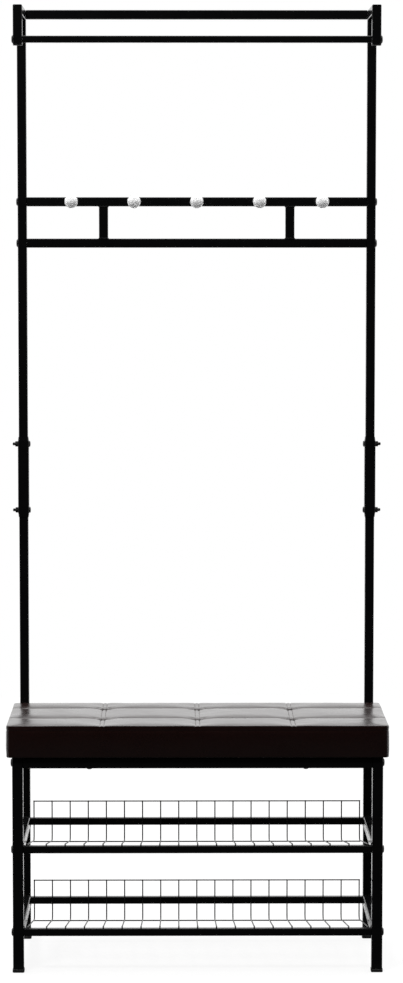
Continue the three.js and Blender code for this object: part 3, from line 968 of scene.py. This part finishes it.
def shelf_tree():
    """Bent wires side by side, welded to two lengthwise wires, from the values of one bent wire."""
    tree, nodes, given = geometry_tree("wire_shelf", {
        "Wires": ("Int", WIRE_COUNT), "Pitch": ("Float", 0.035), "Half Width": ("Float", 0.32),
        "Wire": ("Float", 0.0024), "Bend": ("Float", BEND_RADIUS), "Dot": ("Float", WELD_DOT),
        "End": ("Vector", None), "Rail": ("Vector", None), "Corner": ("Vector", None),
        "Top": ("Vector", None), "Floor Wire": ("Vector", None), "Material": ("Material", None),
    })
    points = nodes.node("GeometryNodeCurvePrimitiveQuadrilateral", {"mode": "POINTS"}, {
        "Point 1": given["End"], "Point 2": given["Rail"], "Point 3": given["Corner"],
        "Point 4": given["Top"],
    })
    bent = nodes.node("GeometryNodeSetSplineCyclic", {}, {"Geometry": points, "Cyclic": False})
    path = nodes.node("GeometryNodeFilletCurve", {"mode": "POLY"}, {
        "Curve": bent, "Count": 8, "Radius": given["Bend"],
    })
    section = nodes.node(
        "GeometryNodeCurvePrimitiveCircle", {"mode": "RADIUS"},
        {"Resolution": 10, "Radius": given["Wire"] * 0.5},
    )

    def drawn(curve):
        return nodes.node(
            "GeometryNodeCurveToMesh", {}, {"Curve": curve, "Profile Curve": section, "Fill Caps": True}
        )

    start = nodes.node("ShaderNodeCombineXYZ", {}, {"X": given["Pitch"] * (given["Wires"] - 1) * -0.5})
    step = nodes.node("ShaderNodeCombineXYZ", {}, {"X": given["Pitch"]})
    row = nodes.node(
        "GeometryNodeMeshLine", {"mode": "OFFSET"},
        {"Count": given["Wires"], "Start Location": start, "Offset": step},
    )
    made = [nodes.node("GeometryNodeInstanceOnPoints", {}, {"Points": row, "Instance": drawn(path)})]
    dot = nodes.node("GeometryNodeMeshIcoSphere", {}, {"Radius": given["Dot"], "Subdivisions": 2})
    for label in ("Top", "Floor Wire", "Rail"):
        moved = nodes.node("GeometryNodeTransform", {}, {"Geometry": row, "Translation": given[label]})
        made.append(nodes.node("GeometryNodeInstanceOnPoints", {}, {
            "Points": moved, "Instance": dot, "Scale": (0.9, 1.1, 0.85),
        }))
    far = nodes.node("ShaderNodeCombineXYZ", {}, {"X": given["Half Width"]})
    near = nodes.node("ShaderNodeCombineXYZ", {}, {"X": given["Half Width"] * -1.0})
    for label in ("Top", "Floor Wire"):
        ends = [
            nodes.node("ShaderNodeVectorMath", {"operation": "ADD"}, {0: given[label], 1: end})
            for end in (near, far)
        ]
        line = nodes.node("GeometryNodeCurvePrimitiveLine", {}, {"Start": ends[0], "End": ends[1]})
        made.append(drawn(line))
    joined = nodes.node("GeometryNodeJoinGeometry", {}, {"Geometry": made})
    smooth = nodes.node("GeometryNodeSetShadeSmooth", {}, {"Geometry": joined})
    end_tree(nodes, smooth, given["Material"])
    return tree


def make_shelf(level, tree):
    """The floor leaves the bend on the line that touches the bend and the top of the front rail."""
    guard_low, guard_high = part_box(f"{level}_shelf_guard")
    floor_low, floor_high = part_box(f"{level}_shelf_floor")
    rail_z = centre_of(f"{level}_shelf_rear_rail").z
    wire = guard_high.y - guard_low.y
    guard_y = (guard_low.y + guard_high.y) / 2
    top_z = guard_high.z - wire / 2
    front_z = floor_high.z - wire / 2
    front_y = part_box(f"{level}_shelf_front_rail")[1].y
    bend_y, bend_z = guard_y - BEND_RADIUS, rail_z - FLOOR_BELOW + BEND_RADIUS
    reach = math.hypot(bend_y - front_y, front_z - bend_z)
    slope = math.atan2(front_z - bend_z, bend_y - front_y) + math.asin(BEND_RADIUS / reach)
    corner_z = front_z - math.tan(slope) * (guard_y - front_y)
    bend_end = (bend_y - BEND_RADIUS * math.sin(slope), bend_z - BEND_RADIUS * math.cos(slope))
    half_width = guard_high.x - wire / 2
    pitch = 2 * (half_width - wire / 2) / (WIRE_COUNT - 1)
    piece = grow(f"{level}_wire_shelf", tree, {
        "Wires": WIRE_COUNT, "Pitch": pitch, "Half Width": half_width, "Wire": wire,
        "Bend": BEND_RADIUS, "Dot": WELD_DOT,
        "End": (0.0, floor_low.y, front_z), "Rail": (0.0, front_y, front_z),
        "Corner": (0.0, guard_y, corner_z), "Top": (0.0, guard_y, top_z),
        "Floor Wire": (0.0, bend_end[0], bend_end[1] - wire + WIRE_BITE), "Material": WIRE,
    })
    keep(piece, f"{level}_shelf_floor", f"{level}_shelf_guard", weighted=False)


# Seat ---------------------------------------------------------------------------------------


def bell(distance, width):
    """1 on a line and falling smoothly to 0 a few widths away from it."""
    return np.exp(-((distance / width) ** 2))


class Seat:
    """Where the seat and its sewing lie, all from the CAD cover."""

    def __init__(self):
        self.low, self.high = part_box("seat_cover")
        width, depth = self.high.x - self.low.x, self.high.y - self.low.y
        self.cross = [self.low.x + width * k / 4 for k in (1, 2, 3)]
        self.channels = [self.low.y + depth * share for share in CHANNEL_SHARES]
        self.tufts = [(x, y) for x in self.cross for y in self.channels]

    def quilting(self, x, y):
        """How far the sewing holds the top down at each point."""
        depth = np.zeros_like(x)
        rim = np.minimum(x - self.low.x, self.high.x - x)
        rim = np.minimum(rim, np.minimum(y - self.low.y, self.high.y - y))
        from_edge = np.clip((rim - RIM_PLAIN) / RIM_FADE, RIM_QUILTING, 1)
        for channel in self.channels:
            depth = np.maximum(depth, CHANNEL_DEPTH * from_edge * bell(y - channel, CHANNEL_HALF))
        for seam in self.cross:
            depth = np.maximum(depth, CROSS_DEPTH * from_edge * bell(x - seam, CROSS_HALF))
        for tuft_x, tuft_y in self.tufts:
            pucker = bell(x - tuft_x, PUCKER_LONG) * bell(y - tuft_y, PUCKER_DEEP)
            dish = bell(np.hypot(x - tuft_x, y - tuft_y), DISH_REACH)
            depth = np.maximum(depth, TUFT_DEPTH * pucker + DISH_DEPTH * dish)
        return depth


def spaced(start, end, marks, offsets, rim):
    """Grid lines from start to end, close together beside the marks and at both rims."""
    fixed = {start, end}
    fixed.update(start + r for r in rim)
    fixed.update(end - r for r in rim)
    for mark in marks:
        fixed.update(mark + sign * offset for offset in offsets for sign in (-1, 1))
    ordered = sorted(fixed)
    lines = []
    for a, b in zip(ordered, ordered[1:]):
        count = max(1, round((b - a) / MESH_STEP))
        lines += [a + (b - a) * i / count for i in range(count)]
    return np.array(lines + [end])


def rounded_corner(points, inner_low, inner_high, radius, axes):
    """Rounds the edges of a box of points that meet in the given axes."""
    core = points.copy()
    for axis in axes:
        core[:, axis] = np.clip(points[:, axis], inner_low[axis], inner_high[axis])
    away = (points - core) / radius
    square = np.abs(away).max(axis=1)
    length = np.linalg.norm(away, axis=1)
    scale = np.divide(square, length, out=np.ones_like(square), where=length > 1e-9)
    return core + radius * away * scale[:, None]


def pad_mesh(seat):
    """The sewn cover before it is filled: a quilted top, four walls and the hem folded under."""
    inset = SEAT_START_INSET
    low = np.array(seat.low) + (inset, inset, 0)
    high = np.array(seat.high) - (inset, inset, -SEAT_TOP_PROUD)
    rim = (0.0012, 0.0026, 0.0042, 0.0065, 0.0095)  # grid lines beside the rim and the seams
    beside_cross = (0.0, 0.0012, 0.0025, CROSS_GAP / 2, 0.0050, 0.0065, 0.0090)
    beside_channel = (0.0, 0.0012, 0.0026, 0.0045, 0.0070, 0.0100)
    xs = spaced(low[0], high[0], seat.cross, beside_cross, rim)
    ys = spaced(low[1], high[1], seat.channels, beside_channel, rim)
    across, deep = len(xs), len(ys)
    grid_y, grid_x = np.meshgrid(ys, xs, indexing="ij")
    points = [np.column_stack([grid_x.ravel(), grid_y.ravel(), np.full(across * deep, high[2])])]
    faces = []
    for j in range(deep - 1):
        for i in range(across - 1):
            a = j * across + i
            faces.append((a, a + 1, a + 1 + across, a + across))
    rim_ids = [i for i in range(across)]
    rim_ids += [j * across + across - 1 for j in range(1, deep)]
    rim_ids += [(deep - 1) * across + i for i in range(across - 2, -1, -1)]
    rim_ids += [j * across for j in range(deep - 2, 0, -1)]
    loop = points[0][rim_ids]
    wall = high[2] - low[2]
    levels = [high[2] - drop for drop in (0.0012, 0.0026, 0.0042, 0.0055, 0.0070, 0.0085)]
    levels += list(np.linspace(high[2] - 0.0140, low[2] + 0.0060, round(wall / MESH_STEP) - 2))
    levels += [low[2] + rise for rise in (0.0040, 0.0025, 0.0012, 0.0)]
    upper, count = np.array(rim_ids), across * deep
    size = len(rim_ids)

    def sew(lower):
        for i in range(size):
            j = (i + 1) % size
            faces.append((lower[i], lower[j], upper[j], upper[i]))

    def add_loop(ring_points):
        nonlocal upper, count
        points.append(ring_points)
        lower = np.arange(count, count + size)
        sew(lower)
        upper, count = lower, count + size

    for level in levels:
        ring_points = loop.copy()
        ring_points[:, 2] = level
        add_loop(ring_points)
    centre = (low + high) / 2
    hem = (0.006, 0.0), (HEM_WIDTH, 0.0), (HEM_WIDTH + 0.0008, BOARD_ABOVE), (0.05, BOARD_ABOVE)
    for inward, lift in hem:
        ring_points = loop.copy()
        for axis in (0, 1):
            reach = (high[axis] - low[axis]) / 2
            ring_points[:, axis] = centre[axis] + (loop[:, axis] - centre[axis]) * (reach - inward) / reach
        ring_points[:, 2] = low[2] + lift
        add_loop(ring_points)
    points = np.concatenate(points)

    shaped = rounded_corner(points, low + SEAT_EDGE, high - SEAT_EDGE, SEAT_EDGE, (0, 1, 2))
    under = np.arange(len(points)) >= across * deep + size * len(levels)
    shaped[under] = points[under]
    corner = SEAT_CORNER - inset
    shaped = rounded_corner(shaped, low + corner, high - corner, corner, (0, 1))
    top = np.arange(len(points)) < across * deep
    held = seat.quilting(shaped[:, 0], shaped[:, 1])
    fade = np.clip((shaped[:, 2] - (high[2] - SEAT_EDGE)) / SEAT_EDGE, 0, 1)
    shaped[:, 2] -= np.where(top, held * fade, 0)

    pinned = shaped[:, 2] < low[2] + 0.003
    pinned[rim_ids] = True
    for channel in seat.channels:
        pinned |= top & (np.abs(points[:, 1] - channel) < 0.0014)
    for seam in seat.cross:
        pinned |= top & (np.abs(np.abs(points[:, 0] - seam) - CROSS_GAP / 2) < 0.0014)
    for tuft_x, tuft_y in seat.tufts:
        pinned |= top & (np.hypot(points[:, 0] - tuft_x, points[:, 1] - tuft_y) < BUTTON_RADIUS)
    return shaped, faces, np.nonzero(pinned)[0]


def plain_mesh(name, points, faces, finish):
    mesh = bpy.data.meshes.new(name)
    mesh.from_pydata([tuple(p) for p in points], [], [tuple(int(i) for i in f) for f in faces])
    mesh.polygons.foreach_set("use_smooth", [True] * len(mesh.polygons))
    mesh.materials.append(finish)
    return mesh


def points_of(mesh):
    flat = np.empty(3 * len(mesh.vertices))
    mesh.vertices.foreach_get("co", flat)
    return flat.reshape(-1, 3)


def filled(pad, pinned):
    """Swells the sewn cover with cloth simulation and returns where its points come to rest."""
    group = pad.vertex_groups.new(name="sewn")
    group.add([int(i) for i in pinned], 1.0, "REPLACE")
    cloth = pad.modifiers.new("stuffing", "CLOTH")
    settings = cloth.settings
    settings.quality = 6
    settings.mass = 0.3
    settings.tension_stiffness = 25
    settings.compression_stiffness = 12
    settings.shear_stiffness = 8
    settings.bending_stiffness = 0.8
    settings.use_pressure = True
    settings.uniform_pressure_force = 4.0
    settings.vertex_group_mass = "sewn"
    settings.effector_weights.gravity = 0.0
    scene = bpy.context.scene
    for moment in range(1, 21):
        scene.frame_set(moment)
    evaluated = pad.evaluated_get(bpy.context.evaluated_depsgraph_get())
    rested = points_of(evaluated.data)
    pad.modifiers.remove(cloth)
    scene.frame_set(1)
    return rested


def fine_sewing(seat, points, normals):
    """Creases, puckers and slow unevenness that are finer than the simulated mesh."""
    x, y, z = points.T
    on_top = np.clip((normals[:, 2] - 0.35) / 0.3, 0, 1) * (z > seat.high.z - 0.022)
    sink = np.zeros_like(x)
    for channel in seat.channels:
        sink = np.maximum(sink, CREASE_DEPTH * bell(y - channel, CREASE_HALF))
    for seam in seat.cross:
        for line in (seam - CROSS_GAP / 2, seam + CROSS_GAP / 2):
            sink = np.maximum(sink, CROSS_CREASE_DEPTH * bell(x - line, CROSS_CREASE_HALF))
    for number, (tuft_x, tuft_y) in enumerate(seat.tufts):
        dx, dy = x - tuft_x, y - tuft_y
        sink = np.maximum(sink, FOLD_DEPTH * bell(dx, FOLD_LONG) * bell(dy, FOLD_DEEP))
        well = np.where(dy < 0, bell(dy, WELL_NEAR), bell(dy, WELL_FAR))
        sink += WELL_DEPTH * bell(dx, WELL_LONG) * well
        away, turn = np.hypot(dx, dy), np.arctan2(dy, dx)
        fan = np.cos(FAN_FOLDS * turn + number) * np.clip(away / 0.012, 0, 1) * bell(away, 0.022)
        sink += FAN_DEPTH * fan
    uneven = np.array([noise.noise(Vector(p) * 16.0) + 0.4 * noise.noise(Vector(p) * 55.0) for p in points])
    rise = UNEVEN * uneven
    free = np.clip((z - seat.low.z - 0.004) / 0.01, 0, 1)
    edge_seam = seat.high.z - EDGE_SEAM_BELOW
    beside = (1 - on_top) * EDGE_SEAM_DEPTH * bell(z - edge_seam, 0.0012)
    moved = points + normals * (rise * free - beside)[:, None]
    moved[:, 2] -= sink * on_top
    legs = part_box("rear_leg_left")[0].y - LEG_CLEARANCE
    past_leg = np.clip(abs(abs(x) - centre_of("rear_leg_right").x) - 0.012, 0, None)
    moved[:, 1] = np.minimum(moved[:, 1], legs + 0.003 * np.clip(past_leg / 0.05, 0, 1) ** 2)
    return moved


def close_base(mesh):
    """Closes the opening inside the hem with one flat face, above the underside of the board."""
    form = bmesh.new()
    form.from_mesh(mesh)
    bmesh.ops.edgeloop_fill(form, edges=[edge for edge in form.edges if edge.is_boundary])
    form.to_mesh(mesh)
    form.free()


def make_cushion(seat):
    points, faces, pinned = pad_mesh(seat)
    pad = link("seat_cushion", plain_mesh("seat_cushion", points, faces, LEATHER))
    move = filled(pad, pinned) - points
    length = np.linalg.norm(move, axis=1)
    share = SWELL_CAP * np.tanh(length / SWELL_CAP) / np.maximum(length, 1e-9)
    move *= share[:, None]
    pad.data.vertices.foreach_set("co", (points + move).ravel())
    pad.data.update()
    pad.vertex_groups.clear()
    smooth = pad.modifiers.new("smooth", "SUBSURF")
    smooth.levels = smooth.render_levels = 1
    depsgraph = bpy.context.evaluated_depsgraph_get()
    mesh = bpy.data.meshes.new_from_object(pad.evaluated_get(depsgraph))
    pad.modifiers.clear()
    close_base(mesh)
    normals = np.array([v.normal for v in mesh.vertices])
    mesh.vertices.foreach_set("co", fine_sewing(seat, points_of(mesh), normals).ravel())
    mesh.update()
    pad.data = mesh
    keep(pad, "seat_cover", "seat_foam", weighted=False)
    return pad


def button_sample():
    """A covered button: a domed disc with its cover tucked in underneath, facing +Z."""
    steps = [(circle(BUTTON_RADIUS * 0.55), -0.0045), (circle(BUTTON_RADIUS), -0.0008)]
    for k in range(7):
        turn = k / 7 * math.pi / 2
        reach = BUTTON_RADIUS * (0.02 + 0.98 * math.cos(turn))
        steps.append((circle(reach), BUTTON_RISE * math.sin(turn)))
    steps.append((circle(BUTTON_RADIUS * 0.06), BUTTON_RISE))
    form = Form()
    stack(form, "z", Vector(), steps)
    return form.mesh("button", LEATHER, 60.0)


def stitch_sample():
    """One stitch of thread along X, dipping into the cover at both ends."""
    rings = []
    for k in range(6):
        share = k / 5
        along = STITCH_LENGTH * (share - 0.5)
        radius = 0.00032 * (0.45 + 0.55 * math.sin(math.pi * min(max(share, 0.12), 0.88)))
        height = 0.00034 * math.sin(math.pi * share) - 0.00010
        rings.append([Vector((along, u, v + height)) for u, v in circle(radius, 6)])
    form = Form()
    form.skin(rings)
    return form.mesh("stitch", THREAD, 60.0)


def staple_sample():
    """The crown of a staple along X with its two shoulders going into the board."""
    form = Form()
    half, thick = 0.0050, 0.00035
    section = rounded_square(thick, 0.00015)
    stack(form, "x", Vector((0, 0, thick)), [(section, -half), (section, half)])
    for sign in (-1, 1):
        stack(form, "z", Vector((sign * (half - thick), 0, 0)), [(section, -0.0015), (section, thick)])
    return form.mesh("staple", ZINC, 30.0)


def spread_along(start, end, count):
    """Evenly spaced (x, y) points from start to end, half a step in from both."""
    for k in range(count):
        share = (k + 0.5) / count
        yield tuple(a + (b - a) * share for a, b in zip(start, end))


def direction(start, end):
    return Vector((end[0] - start[0], end[1] - start[1], 0)).normalized()


def tuft_buttons(seat, cover_at):
    buttons = []
    for tuft_x, tuft_y in seat.tufts:
        rim = [
            cover_at(tuft_x + BUTTON_RADIUS * u, tuft_y + BUTTON_RADIUS * v)[0].z
            for u, v in circle(1.0, 8)
        ]
        buttons.append((Vector((tuft_x, tuft_y, sum(rim) / len(rim) + BUTTON_LIFT)), Z, X))
    set_out("tuft_buttons", button_sample(), LEATHER, buttons, loose=math.pi, seed=3)


def seat_stitches(seat, cover_at):
    """Two rows on each cross seam and one on each channel, left out under the buttons."""
    low, high = seat.low, seat.high
    lines = []
    for seam in seat.cross:
        for x in (seam - CROSS_GAP / 2, seam + CROSS_GAP / 2):
            lines.append(((x, low.y + STITCH_MARGIN), (x, high.y - STITCH_MARGIN)))
    for y in seat.channels:
        lines.append(((low.x + STITCH_MARGIN, y), (high.x - STITCH_MARGIN, y)))
    stitches = []
    for start, end in lines:
        run = direction(start, end)
        for x, y in spread_along(start, end, int(math.dist(start, end) / STITCH_PITCH)):
            if any(math.dist((x, y), tuft) < 1.25 * BUTTON_RADIUS for tuft in seat.tufts):
                continue
            hit, normal = cover_at(x, y)
            ahead = run - normal * run.dot(normal)
            stitches.append((hit, normal, ahead.normalized()))
    set_out("seat_stitches", stitch_sample(), THREAD, stitches, loose=0.06, seed=11)


def hem_staples(seat):
    """A ring of staples that holds the hem to the board."""
    inset = HEM_WIDTH - 0.005
    west, east = seat.low.x + inset, seat.high.x - inset
    south, north = seat.low.y + inset, seat.high.y - inset
    corners = [(west, south), (east, south), (east, north), (west, north)]
    staples = []
    for start, end in zip(corners, corners[1:] + corners[:1]):
        for x, y in spread_along(start, end, round(math.dist(start, end) / STAPLE_PITCH)):
            staples.append((Vector((x, y, seat.low.z)), -Z, direction(start, end)))
    set_out("hem_staples", staple_sample(), ZINC, staples, loose=0.12, seed=5)


def dress_seat(seat, pad):
    """Buttons, stitches and staples, laid on the finished cushion."""
    tree = BVHTree.FromPolygons([v.co for v in pad.data.vertices], [p.vertices for p in pad.data.polygons])

    def cover_at(x, y):
        hit, normal, _, _ = tree.ray_cast(Vector((x, y, seat.high.z + 0.05)), -Z)
        return hit, normal

    tuft_buttons(seat, cover_at)
    seat_stitches(seat, cover_at)
    hem_staples(seat)


def make_board():
    """The board under the pad, its sawn edges eased, with the cover folded round it."""
    low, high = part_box("seat_board")
    width, depth = high.x - low.x - 2 * BOARD_INSET, high.y - low.y - 2 * BOARD_INSET
    full = rounded_rectangle(width, depth, SEAT_CORNER)
    eased = rounded_rectangle(width - 0.002, depth - 0.002, SEAT_CORNER - 0.001)
    form = Form()
    stack(form, "z", flatten_on((low + high) / 2, "z"), [
        (eased, low.z), (full, low.z + 0.001), (full, high.z - 0.001), (eased, high.z),
    ])
    keep_form(form, "seat_board", BOARD)


# Studio -------------------------------------------------------------------------------------


FLOOR_RADIUS = 3.6
FLOOR_SIDES = 96


def make_floor():
    """A pale floor under the stand that glows evenly white to the camera; in reflections and bounced light
    its colour is painted shade, near black on the camera's side and pale behind.
    """
    finish = Finish("studio_floor", Roughness=0.9, Specular_IOR_Level=0.1, Emission_Strength=1.0)
    seen = finish.node("ShaderNodeLightPath", out="Is Camera Ray")
    back = finish.node("ShaderNodeSeparateXYZ", {}, {"Vector": finish.place}, out="Y")
    # Painted shade: every ray but the camera's sees the floor near black in front of the stand and pale
    # behind it.
    behind = finish.spread(back, -0.25, 0.50, 0.0, 1.0)
    painted_shade_bounce = finish.blend(behind, (0.02, 0.02, 0.02), (0.70, 0.70, 0.70))
    finish.feed("Base Color", finish.blend(seen, painted_shade_bounce, (0.12, 0.12, 0.12)))
    finish.feed("Emission Color", finish.blend(seen, (0.0, 0.0, 0.0), (0.86, 0.86, 0.86)))
    form = Form()
    form.points = [Vector((x, y, 0)) for x, y in circle(FLOOR_RADIUS, FLOOR_SIDES)]
    form.faces = [tuple(range(FLOOR_SIDES))]
    floor = link("studio_floor", form.mesh("studio_floor", finish.material))


def make_world():
    """A white studio, brightest behind and above the stand and dim on the camera's side."""
    world = bpy.data.worlds.new("studio")
    world.use_nodes = True
    bpy.context.scene.world = world
    nodes = Nodes(world.node_tree)
    world.node_tree.nodes.clear()
    toward = nodes.node("ShaderNodeTexCoord", out="Generated")
    parts = world.node_tree.nodes.new("ShaderNodeSeparateXYZ")
    world.node_tree.links.new(toward.socket, parts.inputs[0])
    back = Signal(nodes, parts.outputs["Y"])
    above = Signal(nodes, parts.outputs["Z"])
    lit = nodes.node("ShaderNodeMapRange", {"interpolation_type": "SMOOTHSTEP"}, {
        "Value": back + 0.45 * above, 1: -0.45, 2: 0.35, 3: 0.015, 4: 1.05,
    })
    seen = nodes.node("ShaderNodeLightPath", out="Is Camera Ray")
    strength = nodes.node("ShaderNodeMix", {"data_type": "FLOAT"}, {0: seen, 2: lit, 3: 1.0})
    light = nodes.node("ShaderNodeBackground", {}, {"Color": (1, 1, 1, 1), "Strength": strength})
    output = world.node_tree.nodes.new("ShaderNodeOutputWorld")
    world.node_tree.links.new(light.socket, output.inputs[0])


def soft_light(name, place, target, size, power, mirrored=True):
    """A rectangular lamp aimed at its target. An unmirrored one lights without a reflection of itself."""
    light = bpy.data.lights.new(name, "AREA")
    light.shape = "RECTANGLE"
    light.size, light.size_y = size
    light.energy = power
    lamp = bpy.data.objects.new(name, light)
    lamp.location = place
    lamp.visible_glossy = mirrored
    lamp.rotation_euler = (Vector(target) - Vector(place)).to_track_quat("-Z", "Y").to_euler()
    bpy.context.scene.collection.objects.link(lamp)


def make_lights():
    soft_light("top_light", (0.0, 0.6, 4.2), (0, 0, 0), (3.4, 3.4), 120.0)
    soft_light("left_light", (-3.2, 0.4, 2.2), (0, 0, 0.9), (1.4, 2.6), 26.0)
    soft_light("front_light", (-1.4, -2.6, 4.4), (0, 0, 0.9), (1.0, 1.0), 130.0, mirrored=False)
    soft_light("right_light", (3.2, 0.4, 2.2), (0, 0, 0.9), (1.4, 2.6), 26.0)


def make_camera():
    lens = bpy.data.cameras.new("camera")
    lens.sensor_width = 36.0
    lens.lens = 120.91
    lens.shift_y = 0.0635
    lens.clip_end = 100.0
    camera = bpy.data.objects.new("camera", lens)
    camera.location = (-0.0350, -6.2255, 1.3653)
    camera.rotation_euler = (math.radians(90 - 5.452), 0, math.radians(-0.397))
    bpy.context.scene.collection.objects.link(camera)
    bpy.context.scene.camera = camera


# Making it ----------------------------------------------------------------------------------

make_camera()
make_tubes()
for side_name in SIDES:
    make_sleeve(side_name)
    make_bracket(side_name)
    make_plug(f"drop_plug_{side_name}", 0.002, 0.00145)
    for corner_name in ("front", "rear"):
        make_plug(f"{corner_name}_foot_{side_name}", 0.006, 0.00225)
joint_bolts()
seat_screws()
make_sleeve_bolts()
weld_beads()
for hook_number in range(1, 6):
    make_hook(hook_number)
wire_shelf = shelf_tree()
for level_name in LEVELS:
    make_shelf(level_name, wire_shelf)
seat_plan = Seat()
dress_seat(seat_plan, make_cushion(seat_plan))
make_board()

make_floor()
make_world()
make_lights()
bpy.context.scene.view_settings.view_transform = "Standard"
